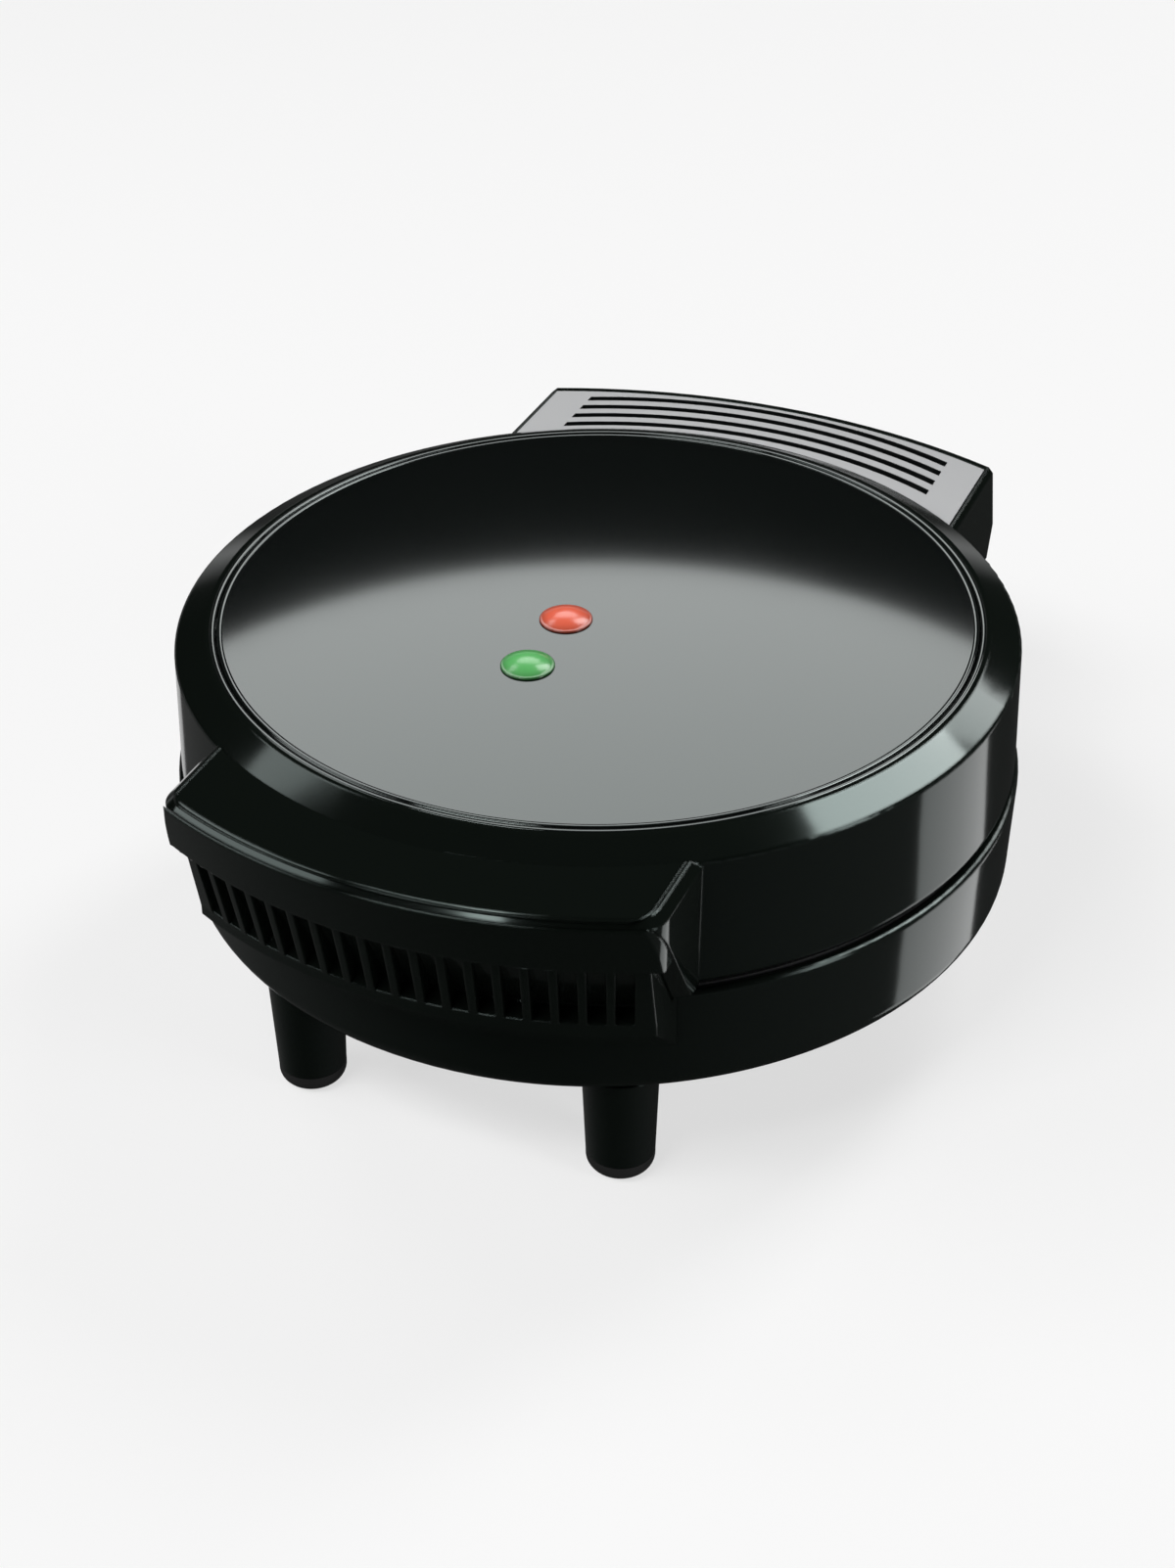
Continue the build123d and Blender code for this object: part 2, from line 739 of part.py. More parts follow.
def make_lower_handle():
    """Lower half of the handle: rim, grip with upright flutes, sill and belly."""
    rim_top_z = handle_top_z - parting_gap
    rim_bottom_z = rim_top_z - rim_height
    grip_bottom_z = rim_bottom_z - grip_height
    sill_z = grip_bottom_z - sill_height
    rim_top_r = handle_arc_radius
    rim_bottom_r = rim_top_r - rim_taper
    grip_top_r = rim_bottom_r - rim_overhang
    grip_bottom_r = grip_top_r - grip_taper
    seam_top = handle_arc_radius
    seam_bottom = seam_top - parting_slope_run
    knee_z = handle_top_z - seam_lip
    inner = seam_bottom - 2 * wall
    points = [
        (inner, sill_z - grip_belly), (grip_bottom_r, sill_z), (grip_bottom_r, grip_bottom_z),
        (grip_top_r, rim_bottom_z), (rim_bottom_r, rim_bottom_z), (rim_top_r, knee_z - seam_gap),
        (rim_top_r - seam_gap / 2, knee_z), (seam_bottom, lid_bottom_z - parting_gap / 2),
        (inner, lid_bottom_z - parting_gap / 2)]
    body = turned(points, [0, 0, 0, 0, rim_round, 0, 0, 0, 0], handle_arc_y)
    rim_plan = handle_plan(handle_half_width, -plan_ease, handle_corner_radius)
    grip_plan = handle_plan(handle_half_width - rim_side_overhang, -wall, grip_corner_radius)
    block = Pos(0, 0, rim_bottom_z) * extrude(rim_plan, handle_top_z - rim_bottom_z)
    block += Pos(0, 0, base_bottom_z) * extrude(grip_plan, rim_bottom_z - base_bottom_z)
    body = body & block
    base_round = [(0, base_bottom_z - wall), (base_bottom_radius, base_bottom_z),
                  (base_top_radius, base_top_z), (base_top_radius, handle_top_z), (0, handle_top_z)]
    body -= turned(base_round, 0)
    return body - flutes(grip_bottom_z, rim_bottom_z, grip_bottom_r, grip_top_r)


def flutes(low_z, high_z, low_r, high_r):
    """Upright flutes between fins; each floor slopes out, and a narrow land is left at both ends."""
    step = 2 * flute_half_span / flute_count
    width = radians(step) * low_r - fin_width
    top_z = high_z - flute_land
    edge_z = low_z + flute_land
    slope = (flute_floor_rise - flute_land) / flute_depth
    points = [(high_r - flute_top_depth, top_z), (high_r + wall, top_z),
              (high_r + wall, edge_z - slope * (high_r + wall - low_r)),
              (low_r - flute_depth, edge_z + slope * flute_depth)]
    outline = Polyline(*points, close=True)
    cutter = extrude(Plane.YZ * make_face(outline), width / 2, both=True)
    solids = []
    for i in range(flute_count):
        turn = -flute_half_span + step * (i + 0.5)
        solids.append(Pos(0, handle_arc_y, 0) * Rot(0, 0, 180 + turn) * cutter)
    return Compound(solids)


def make_terminal_block():
    y = block_floor_reach - wall - terminal_width / 2 - terminal_margin
    block = Pos(0, y, base_floor_z + terminal_height / 2) * Box(
        terminal_length, terminal_width, terminal_height)
    for i in (-1, 0, 1):
        block -= upright(terminal_hole_radius, base_floor_z + wall, base_floor_z + 2 * terminal_height,
                         i * terminal_pitch, y)
    return block


def make_cord_gland():
    """Bush in the side of the rear block where a mains lead would enter."""
    face_x = block_half_width
    gland = cross_bar(gland_radius, face_x - 2 * wall, face_x, gland_y, gland_z)
    gland += cross_bar(gland_flange_radius, face_x, face_x + gland_flange_thickness, gland_y, gland_z)
    gland -= cross_bar(gland_bore_radius, face_x - 3 * wall, face_x + 3 * wall, gland_y, gland_z)
    return gland


save("lid_shell", make_lid_shell())
save("lid_disc", make_lid_disc())
save("lens_red", make_lens(lamp_x, lamp_red_y))
save("lens_green", make_lens(lamp_x, lamp_green_y))
save("lamp_sockets", make_lamp_sockets())
save("lamp_bulbs", make_lamp_bulbs())
save("vent_panel", make_vent_panel())
save("upper_plate", make_upper_plate())
save("upper_element", element(upper_element_z()))
save("upper_element_straps", straps(upper_roof_z, 1))
save("upper_reflector", reflector(upper_reflector_z(), -1))
save("upper_plate_screws", make_upper_screws())
save("base_shell", make_base_shell())
save("lower_handle", make_lower_handle())
save("lower_plate", make_lower_plate())
save("lower_element", element(lower_element_z()))
save("lower_element_straps", straps(lower_floor_z, -1))
save("lower_reflector", reflector(lower_reflector_z(), 1))
save("lower_plate_screws", make_lower_screws())
save("thermostat", make_thermostat())
save("thermal_fuse", make_thermal_fuse())
save("terminal_block", make_terminal_block())
save("cord_gland", make_cord_gland())
save("hinge_pins", make_hinge_pins())
for index, (foot_place_x, foot_place_y) in enumerate(foot_places()):
    row = "front" if foot_place_y < 0 else "rear"
    side_name = "left" if foot_place_x < 0 else "right"
    save(f"foot_{row}_{side_name}", make_foot(foot_place_x, foot_place_y))
save("foot_tips", make_foot_tips())
save("foot_screws", make_foot_screws())
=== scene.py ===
"""Looks of a countertop omelette maker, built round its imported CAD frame.

The frame gives every solid its place. This script adds the smooth pieces that
catch the light first, gives every piece a procedural finish, and sets a plain
studio with the camera at the photograph's angle. All lengths are in metres.
"""

from __future__ import annotations

import json
import logging
import math
from abc import ABC, abstractmethod
from dataclasses import dataclass
from enum import Enum
from typing import Any, ClassVar, Sequence, Union

import bpy
import numpy as np
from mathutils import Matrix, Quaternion, Vector

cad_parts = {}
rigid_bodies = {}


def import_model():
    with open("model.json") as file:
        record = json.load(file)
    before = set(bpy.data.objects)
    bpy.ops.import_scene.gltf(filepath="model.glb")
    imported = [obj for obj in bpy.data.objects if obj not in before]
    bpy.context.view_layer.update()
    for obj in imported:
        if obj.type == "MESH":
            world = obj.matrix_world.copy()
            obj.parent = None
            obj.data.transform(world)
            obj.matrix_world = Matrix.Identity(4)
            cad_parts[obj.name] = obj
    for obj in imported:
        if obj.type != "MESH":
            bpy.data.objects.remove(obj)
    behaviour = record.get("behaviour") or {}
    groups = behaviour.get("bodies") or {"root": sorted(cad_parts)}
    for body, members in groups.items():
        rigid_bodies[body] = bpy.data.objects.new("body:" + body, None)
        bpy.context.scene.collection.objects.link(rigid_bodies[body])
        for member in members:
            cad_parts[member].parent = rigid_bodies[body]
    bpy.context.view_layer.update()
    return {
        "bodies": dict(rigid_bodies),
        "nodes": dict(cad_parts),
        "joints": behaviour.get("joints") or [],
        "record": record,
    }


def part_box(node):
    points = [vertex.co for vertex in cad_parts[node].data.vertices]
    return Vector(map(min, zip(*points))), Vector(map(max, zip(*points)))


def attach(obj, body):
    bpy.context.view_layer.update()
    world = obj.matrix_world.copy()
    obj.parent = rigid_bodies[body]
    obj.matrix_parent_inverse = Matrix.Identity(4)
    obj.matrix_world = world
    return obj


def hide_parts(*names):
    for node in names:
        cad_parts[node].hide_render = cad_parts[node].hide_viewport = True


LOG = logging.getLogger("omelette_maker")

Number = Union[int, float]
Triple = tuple[float, float, float]

WHITE = (1.0, 1.0, 1.0, 1.0)
MIX_SHARE, MIX_FIRST, MIX_SECOND, MIX_RESULT = 0, 6, 7, 2


class Grain(Enum):
    """How far the fine noise of a finish is squeezed along X, Y and Z."""

    EVEN = (1.0, 1.0, 1.0)
    BRUSHED = (1.0, 14.0, 1.0)


class LightShape(Enum):
    """Outline of a softbox."""

    OVAL = "ELLIPSE"
    OBLONG = "RECTANGLE"


class Lamp(Enum):
    """The two indicator lamps."""

    RED = "red"
    GREEN = "green"


@dataclass(frozen=True)
class Finish:
    """One surface finish, shared by every piece in a material slot.

    Where a side colour is given, it is painted shade: faces that don't look up,
    such as the walls of slots, take that colour instead of the finish's own.
    """

    slot: str
    colour: Triple
    roughness: float
    metallic: float = 0.0
    coat: float = 0.0
    specular: float = 0.5
    specular_tint: Triple = (1.0, 1.0, 1.0)
    alpha: float = 1.0
    grain: Grain = Grain.EVEN
    grain_scale: float = 60.0
    roughness_change: float = 0.03
    bump_height: float = 0.0
    edge_radius: float = 0.0
    core: Triple | None = None


@dataclass(frozen=True)
class Softbox:
    """One soft studio light, placed by the direction it shines from.

    Azimuth 0 is in front and grows to the right. A light with names in only
    shines at those objects alone, and through_floor lets it do so from below.
    """

    name: str
    azimuth: float
    elevation: float
    distance: float
    width: float
    height: float
    power: float
    shape: LightShape = LightShape.OBLONG
    only: tuple[str, ...] = ()
    through_floor: bool = False


@dataclass(frozen=True)
class CameraPlace:
    """The photograph's camera, found from the ellipses of the lid and base."""

    position: Triple = (0.2181, -0.51956, 0.4300)
    target: Triple = (-0.00263, -0.00829, 0.04464)
    roll: float = -0.44
    lens: float = 59.60
    sensor: float = 36.0


FINISHES: tuple[Finish, ...] = (
    Finish("black_gloss", (0.0030, 0.0042, 0.0034), 0.09, specular=0.34,
           specular_tint=(0.80, 0.98, 0.94), grain_scale=45.0, roughness_change=0.02,
           edge_radius=0.0008),
    Finish("black_disc", (0.0035, 0.0045, 0.0042), 0.055, specular=0.55,
           specular_tint=(0.86, 0.98, 0.95), grain_scale=30.0, roughness_change=0.006),
    Finish("lens_red", (0.78, 0.13, 0.07), 0.26, coat=0.15, grain_scale=300.0),
    Finish("lens_green", (0.11, 0.46, 0.13), 0.26, coat=0.15, grain_scale=300.0),
    Finish("inner_plastic", (0.05, 0.05, 0.05), 0.5, bump_height=0.00003),
    Finish("lamp_glass", (0.85, 0.80, 0.74), 0.08, alpha=0.6, grain_scale=300.0),
    # The vent panel's sides and slot walls get a near-black painted shade.
    Finish("silver_panel", (0.36, 0.365, 0.37), 0.36, metallic=0.25, grain_scale=1500.0,
           bump_height=0.00001, edge_radius=0.0003, core=(0.004, 0.005, 0.005)),
    Finish("non_stick", (0.018, 0.018, 0.019), 0.42, metallic=0.1, grain_scale=900.0,
           roughness_change=0.06, bump_height=0.00003, edge_radius=0.0005),
    Finish("element_steel", (0.16, 0.15, 0.14), 0.5, metallic=0.9, grain=Grain.BRUSHED,
           roughness_change=0.1),
    Finish("steel", (0.55, 0.55, 0.56), 0.32, metallic=1.0, grain=Grain.BRUSHED,
           roughness_change=0.08),
    Finish("sheet_aluminium", (0.72, 0.73, 0.74), 0.30, metallic=1.0, grain=Grain.BRUSHED,
           roughness_change=0.1),
    Finish("terminal_plastic", (0.70, 0.68, 0.62), 0.45, bump_height=0.00002),
    Finish("gland_plastic", (0.012, 0.012, 0.012), 0.4, bump_height=0.00002,
           edge_radius=0.0004),
    Finish("foot_rubber", (0.010, 0.010, 0.010), 0.62, grain_scale=700.0,
           roughness_change=0.05, bump_height=0.00004),
)

SHELLS = ("lid_shell", "base_shell", "lower_handle", "disc_lip", "lid_lip", "handle_lip")
TOPS = ("gloss_disc", "disc_lip", "lid_lip", "lamp_lens_red", "lamp_lens_green", "vent_panel")

SOFTBOXES: tuple[Softbox, ...] = (
    Softbox("sky_softbox", 203.35, 43.7, 2.23, 1.5, 1.07, 15.0, shape=LightShape.OVAL, only=TOPS),
    Softbox("back_strip", 160.0, 45.0, 2.0, 0.55, 1.25, 16.0),
    Softbox("left_softbox", -62.0, 34.0, 1.8, 1.1, 0.7, 10.0),
    Softbox("left_high_softbox", -108.0, 50.0, 2.0, 0.6, 0.5, 3.5),
    Softbox("right_strip", 78.0, 20.0, 1.7, 0.35, 1.0, 8.0),
    Softbox("right_softbox", 138.0, 52.0, 2.0, 0.85, 0.85, 30.0, only=SHELLS),
    Softbox("low_right_softbox", 131.0, -35.0, 1.8, 0.9, 0.9, 4.0, only=SHELLS,
            through_floor=True),
    Softbox("low_left_softbox", -137.0, -35.0, 1.8, 0.5, 0.9, 0.8, only=SHELLS,
            through_floor=True),
    Softbox("front_fill", -22.0, 55.0, 2.3, 1.0, 0.6, 22.0),
)


class Signal:
    """A shader value that takes part in ordinary arithmetic.

    Args:
        tree: The node tree the value lives in.
        socket: The output socket that gives the value.
    """

    def __init__(self, tree: bpy.types.NodeTree, socket: bpy.types.NodeSocket) -> None:
        """Keep the tree and the socket."""
        self.tree = tree
        self.socket = socket

    def math(self, operation: str, *values: Union["Signal", Number]) -> "Signal":
        """Apply one Math node.

        Args:
            operation: The Math node's operation.
            values: Its inputs, in order.

        Returns:
            The node's result.
        """
        node = self.tree.nodes.new("ShaderNodeMath")
        node.operation = operation
        for place, value in zip(node.inputs, values):
            if isinstance(value, Signal):
                self.tree.links.new(value.socket, place)
            else:
                place.default_value = value
        return Signal(self.tree, node.outputs[0])

    def __add__(self, other: Union["Signal", Number]) -> "Signal":
        """Self plus another."""
        return self.math("ADD", self, other)

    def __radd__(self, other: Number) -> "Signal":
        """A number plus self."""
        return self.math("ADD", other, self)

    def __sub__(self, other: Union["Signal", Number]) -> "Signal":
        """Self minus another."""
        return self.math("SUBTRACT", self, other)

    def __rsub__(self, other: Number) -> "Signal":
        """A number minus self."""
        return self.math("SUBTRACT", other, self)

    def __mul__(self, other: Union["Signal", Number]) -> "Signal":
        """Self times another."""
        return self.math("MULTIPLY", self, other)

    def __rmul__(self, other: Number) -> "Signal":
        """A number times self."""
        return self.math("MULTIPLY", other, self)

    def __truediv__(self, other: Union["Signal", Number]) -> "Signal":
        """Self over another."""
        return self.math("DIVIDE", self, other)

    def __rtruediv__(self, other: Number) -> "Signal":
        """A number over self."""
        return self.math("DIVIDE", other, self)

    def clamped(self, low: Number, high: Number) -> "Signal":
        """Keep the value between two limits.

        Args:
            low: The lower limit.
            high: The upper limit.

        Returns:
            The limited value.
        """
        return self.math("MINIMUM", self.math("MAXIMUM", self, low), high)


class Graph:
    """Adds nodes to a tree that ends in one shader node.

    Args:
        tree: The node tree.
        target: The shader node's name.
    """

    def __init__(self, tree: bpy.types.NodeTree, target: str) -> None:
        """Keep the tree and its shader node."""
        self.tree = tree
        self.target = tree.nodes[target]

    def node(self, kind: str, output: Union[str, int] = 0,
             inputs: dict[Union[str, int], Any] | None = None, **settings: Any) -> Signal:
        """Add any node. Its settings are set before its sockets.

        Args:
            kind: The node's type name.
            output: Which output to return.
            inputs: Values or signals for its inputs, by name or number.
            settings: Attributes to set on the node.

        Returns:
            The chosen output.
        """
        made = self.tree.nodes.new(kind)
        for key, value in settings.items():
            setattr(made, key, value)
        for key, value in (inputs or {}).items():
            if isinstance(value, Signal):
                self.tree.links.new(value.socket, made.inputs[key])
            else:
                made.inputs[key].default_value = value
        return Signal(self.tree, made.outputs[output])

    def put(self, name: str, value: Union[Signal, Number, Sequence[float]]) -> None:
        """Set or link one input of the shader node.

        Args:
            name: The input's name.
            value: A constant or a signal.
        """
        if isinstance(value, Signal):
            self.tree.links.new(value.socket, self.target.inputs[name])
        else:
            self.target.inputs[name].default_value = value

    def part(self, vector: Signal, axis: str) -> Signal:
        """One part of a vector, by the name of its axis."""
        return self.node("ShaderNodeSeparateXYZ", output=axis, inputs={"Vector": vector})

    def blend(self, share: Signal, first: Triple, second: Triple) -> Signal:
        """Mix two colours.

        Args:
            share: How much of the second, from 0 to 1.
            first: The first colour.
            second: The second colour.

        Returns:
            The mixed colour.
        """
        return self.node("ShaderNodeMix", output=MIX_RESULT, data_type="RGBA", inputs={
            MIX_SHARE: share, MIX_FIRST: (*first, 1.0), MIX_SECOND: (*second, 1.0)})


class Shader(Graph):
    """Builds one procedural material in object coordinates.

    Args:
        name: The material's name.
    """

    def __init__(self, name: str) -> None:
        """Make the material and its coordinates."""
        self.material = bpy.data.materials.new(name)
        self.material.use_nodes = True
        super().__init__(self.material.node_tree, "Principled BSDF")
        self.place = self.node("ShaderNodeTexCoord", output="Object")

    def noise(self, scale: float, detail: float, grain: Grain) -> Signal:
        """Fine noise, squeezed as the grain says.

        Args:
            scale: Cells per metre.
            detail: Octaves of noise.
            grain: The kind of grain.

        Returns:
            Noise about a middle of one half.
        """
        vector = self.node("ShaderNodeMapping", inputs={
            "Vector": self.place, "Scale": grain.value})
        return self.node("ShaderNodeTexNoise", output="Fac", inputs={
            "Vector": vector, "Scale": scale, "Detail": detail})


class FinishShop:
    """Makes each finish once and hands it to pieces.

    Args:
        finishes: All finishes of the object.
    """

    detail: float = 3.0
    least_roughness: float = 0.01
    edge_samples: int = 4
    # Faces whose normal's height is under this get the painted shade colour.
    side_shade_from: float = 0.5
    side_shade_sharpness: float = 10.0

    def __init__(self, finishes: Sequence[Finish]) -> None:
        """Keep the finishes by slot."""
        self.finishes = {finish.slot: finish for finish in finishes}
        self.made: dict[str, bpy.types.Material] = {}

    def base(self, finish: Finish) -> Shader:
        """Build the shader that all finishes share.

        Args:
            finish: The finish to build.

        Returns:
            The shader, ready for further changes.
        """
        shader = Shader(finish.slot)
        shader.put("Base Color", (*finish.colour, 1.0))
        shader.put("Metallic", finish.metallic)
        shader.put("Coat Weight", finish.coat)
        shader.put("Specular IOR Level", finish.specular)
        shader.put("Specular Tint", (*finish.specular_tint, 1.0))
        shader.put("Alpha", finish.alpha)
        noise = shader.noise(finish.grain_scale, self.detail, finish.grain)
        low = max(finish.roughness - finish.roughness_change, self.least_roughness)
        shader.put("Roughness", low + 2 * finish.roughness_change * noise)
        self.relief(shader, finish, noise)
        # Faces that don't look up get painted shade.
        if finish.core:
            self.paint_side_shade(shader, finish)
        return shader

    def relief(self, shader: Shader, finish: Finish, noise: Signal) -> None:
        """Round the edges and add the grain's bumps.

        Args:
            shader: The shader to change.
            finish: The finish, with its edge radius and bump height.
            noise: The grain.
        """
        normal = {}
        if finish.edge_radius:
            normal["Normal"] = shader.node("ShaderNodeBevel", samples=self.edge_samples,
                                           inputs={"Radius": finish.edge_radius})
        if finish.bump_height:
            normal["Normal"] = shader.node("ShaderNodeBump", inputs={
                "Height": noise, "Distance": finish.bump_height, "Strength": 1.0, **normal})
        if normal:
            shader.put("Normal", normal["Normal"])

    def paint_side_shade(self, shader: Shader, finish: Finish) -> None:
        """Paint shade on the faces that don't look up, such as the walls of slots.

        The share of the finish's own colour and metal grows from 0 to 1 as the
        normal's height passes the threshold set on the shop; below it the faces
        take the painted shade colour.

        Args:
            shader: The shader to change.
            finish: The finish, with its painted shade colour.
        """
        up = shader.part(shader.node("ShaderNodeTexCoord", output="Normal"), "Z")
        # Near-black painted shade where the normal doesn't look up, the finish where it does.
        unshaded_share = ((up - self.side_shade_from) * self.side_shade_sharpness).clamped(0.0, 1.0)
        shader.put("Base Color", shader.blend(unshaded_share, finish.core, finish.colour))
        shader.put("Metallic", unshaded_share * finish.metallic)

    def get(self, slot: str) -> bpy.types.Material:
        """Material of a slot, made when first asked for.

        Args:
            slot: The record's material slot.

        Returns:
            The material.
        """
        if slot not in self.made:
            self.made[slot] = self.base(self.finishes[slot]).material
        return self.made[slot]

    def lens(self, slot: str, centre: Vector, radius: float,
             rim_painted_shade: float) -> bpy.types.Material:
        """Coloured lens with painted shade that darkens it towards its rim.

        The painted shade is 1 at the middle and falls with the sixth power of the
        distance from the lamp's axis to the rim's value at the edge.

        Args:
            slot: The record's material slot.
            centre: A point on the lamp's axis.
            radius: The lens's radius.
            rim_painted_shade: How bright the rim is against the middle.

        Returns:
            The material.
        """
        finish = self.finishes[slot]
        shader = self.base(finish)
        across = shader.part(shader.place, "X") - centre.x
        along = shader.part(shader.place, "Y") - centre.y
        near = ((across * across + along * along) / radius ** 2).clamped(0.0, 1.0)
        spread = near * near * near
        # Painted shade: the lens colour darkens towards the rim.
        painted_rim_colour = tuple(part * rim_painted_shade for part in finish.colour)
        shader.put("Base Color", shader.blend(spread, finish.colour, painted_rim_colour))
        return shader.material


@dataclass
class Surface:
    """Faces on points that numpy has worked out.

    Args:
        vertices: One row for each point.
        quads: Four point numbers in each row.
        triangles: Three point numbers in each row.
    """

    vertices: np.ndarray
    quads: np.ndarray
    triangles: np.ndarray

    sharp_from: ClassVar[float] = 40.0

    @staticmethod
    def strips(first: np.ndarray, second: np.ndarray) -> np.ndarray:
        """Quads between matching rows of point numbers, each row closed on itself."""
        sides = [first, second, np.roll(second, -1, axis=1), np.roll(first, -1, axis=1)]
        return np.stack(sides, axis=-1).reshape(-1, 4)

    @classmethod
    def turned(cls, profile: np.ndarray, top: float, turns: int, centre: Vector) -> "Surface":
        """Closed surface turned about an upright axis.

        Point (i, j) is (r_i cos t_j, r_i sin t_j, z_i) with t_j = 2 pi j / turns. The
        profile runs from the top's middle outwards and down, so faces look outwards.

        Args:
            profile: Radii and heights, one row for each ring, without the two middles.
            top: Height of the top's middle.
            turns: Points in each ring.
            centre: The axis's place.

        Returns:
            The surface.
        """
        rings = cls.rings(profile, turns, centre)
        middles = np.array([[centre.x, centre.y, top], [centre.x, centre.y, profile[-1, 1]]])
        count = len(profile) * turns
        index = np.arange(count).reshape(len(profile), turns)
        after = np.roll(index, -1, axis=1)
        top_fan = np.stack([np.full(turns, count), index[0], after[0]], axis=-1)
        low_fan = np.stack([np.full(turns, count + 1), after[-1], index[-1]], axis=-1)
        return cls(np.concatenate([rings, middles]), cls.strips(index[:-1], index[1:]),
                   np.concatenate([top_fan, low_fan]))

    @classmethod
    def hoop(cls, profile: np.ndarray, turns: int, centre: Vector) -> "Surface":
        """Ring with a closed section, turned about an upright axis as turned() does.

        Args:
            profile: Radii and heights of the section, clockwise seen with up at the top.
            turns: Sections round the ring.
            centre: The axis's place.

        Returns:
            The surface.
        """
        index = np.arange(len(profile) * turns).reshape(len(profile), turns)
        return cls(cls.rings(profile, turns, centre), cls.strips(index, np.roll(index, -1, axis=0)),
                   np.empty((0, 3), dtype=int))

    @classmethod
    def carried(cls, path: np.ndarray, side: np.ndarray, profile: np.ndarray) -> "Surface":
        """Bar with a closed section carried along a level path.

        Point (i, j) is path_i + a_j side_i + b_j up, where (a_j, b_j) is the section.
        Faces look outwards where side points to the left of the way along the path,
        and inwards where it points to the right.

        Args:
            path: Points of the path.
            side: Unit vectors across the path.
            profile: Section points, across and up, clockwise when drawn with up at the top.

        Returns:
            The surface, with flat ends.
        """
        up = np.array([0.0, 0.0, 1.0])
        across = profile[None, :, :1] * side[:, None, :]
        points = path[:, None, :] + across + profile[None, :, 1:] * up
        index = np.arange(len(path) * len(profile)).reshape(len(path), len(profile))
        start, end = index[0], index[-1]
        start_fan = np.stack([np.full(len(profile) - 2, start[0]), start[1:-1], start[2:]], axis=-1)
        end_fan = np.stack([np.full(len(profile) - 2, end[0]), end[2:], end[1:-1]], axis=-1)
        return cls(points.reshape(-1, 3), cls.strips(index[:-1], index[1:]),
                   np.concatenate([start_fan, end_fan]))

    @staticmethod
    def rings(profile: np.ndarray, turns: int, centre: Vector) -> np.ndarray:
        """Points of a profile turned about an upright axis, ring by ring.

        Args:
            profile: Radii and heights.
            turns: Points in each ring.
            centre: The axis's place.

        Returns:
            One row for each point.
        """
        angle = 2 * np.pi * np.arange(turns) / turns
        x = centre.x + profile[:, :1] * np.cos(angle)
        y = centre.y + profile[:, :1] * np.sin(angle)
        z = np.broadcast_to(profile[:, 1:], x.shape)
        return np.stack([x, y, z], axis=-1).reshape(-1, 3)

    def open_hole(self, x: float, y: float, radius: float) -> None:
        """Leave out the faces that lie wholly within a circle round an upright axis.

        The hole gets no wall, so the surface is open there.

        Args:
            x: The axis's place across.
            y: The axis's place along.
            radius: The circle's radius.
        """
        far = np.hypot(self.vertices[:, 0] - x, self.vertices[:, 1] - y) > radius
        self.quads = self.quads[far[self.quads].any(axis=1)]
        self.triangles = self.triangles[far[self.triangles].any(axis=1)]

    def mesh(self, name: str) -> bpy.types.Mesh:
        """Make the Blender mesh, smooth shaded.

        Args:
            name: The mesh's name.

        Returns:
            The mesh.
        """
        mesh = bpy.data.meshes.new(name)
        faces = self.quads.tolist() + self.triangles.tolist()
        mesh.from_pydata(self.vertices, [], faces)
        mesh.shade_smooth()
        mesh.set_sharp_from_angle(angle=math.radians(self.sharp_from))
        mesh.validate()
        return mesh


def placed(name: str, data: bpy.types.ID) -> bpy.types.Object:
    """Put a new object into the scene.

    Args:
        name: The object's name.
        data: Its mesh, light or camera.

    Returns:
        The object.
    """
    made = bpy.data.objects.new(name, data)
    bpy.context.scene.collection.objects.link(made)
    return made


@dataclass
class Piece(ABC):
    """A smooth piece placed by the box of a CAD node.

    Args:
        name: The new object's name.
        node: The CAD node whose box gives its place.
        slot: The record's material slot.
        shop: The source of materials.
    """

    name: str
    node: str
    slot: str
    shop: FinishShop

    body: ClassVar[str] = "lid"
    stands_for_node: ClassVar[bool] = True

    def __post_init__(self) -> None:
        """Read the node's box."""
        low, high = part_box(self.node)
        self.low, self.high = Vector(low), Vector(high)
        self.centre = (self.low + self.high) / 2
        self.radius = (self.high.x - self.low.x) / 2

    @abstractmethod
    def surface(self) -> Surface:
        """Shape of the piece."""

    def material(self) -> bpy.types.Material:
        """Material of the piece."""
        return self.shop.get(self.slot)

    def build(self) -> bpy.types.Object:
        """Make the object, fix it to its body and hide the node it stands for.

        Returns:
            The new object.
        """
        made = placed(self.name, self.surface().mesh(self.name))
        made.data.materials.append(self.material())
        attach(made, self.body)
        if self.stands_for_node:
            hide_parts(self.node)
        LOG.info("%s is finished in %s, with %d faces", self.name, self.slot,
                 len(made.data.polygons))
        return made


@dataclass
class GlossDisc(Piece):
    """Slightly domed glossy disc, open at the top under the two lamp lenses."""

    edge_round: float = 0.0006
    crown: float = 0.0005
    rings: int = 110
    edge_steps: int = 6
    turns: int = 360
    hole_radius: float = 0.0061

    def surface(self) -> Surface:
        """Dome with a rounded edge.

        Height is edge + crown (1 - (r / R)^2) over the top, then a quarter
        circle, then straight down by a third of the node's thickness.

        Returns:
            The disc, with its holes open.
        """
        flat = self.radius - self.edge_round
        edge_z = self.high.z - self.crown
        radius = np.linspace(flat / self.rings, flat, self.rings)
        dome = np.stack([radius, edge_z + self.crown * (1 - (radius / flat) ** 2)], axis=-1)
        turn = np.linspace(0, np.pi / 2, self.edge_steps + 1)[1:]
        edge = np.stack([flat + self.edge_round * np.sin(turn),
                         edge_z - self.edge_round * (1 - np.cos(turn))], axis=-1)
        foot = edge_z - (edge_z - self.low.z) / 3
        under = np.array([[self.radius, foot], [flat / self.rings, foot]])
        profile = np.concatenate([dome, edge, under])
        shape = Surface.turned(profile, self.high.z, self.turns, self.centre)
        for lamp in Lamp:
            low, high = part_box(f"lens_{lamp.value}")
            shape.open_hole((low[0] + high[0]) / 2, (low[1] + high[1]) / 2, self.hole_radius)
        return shape


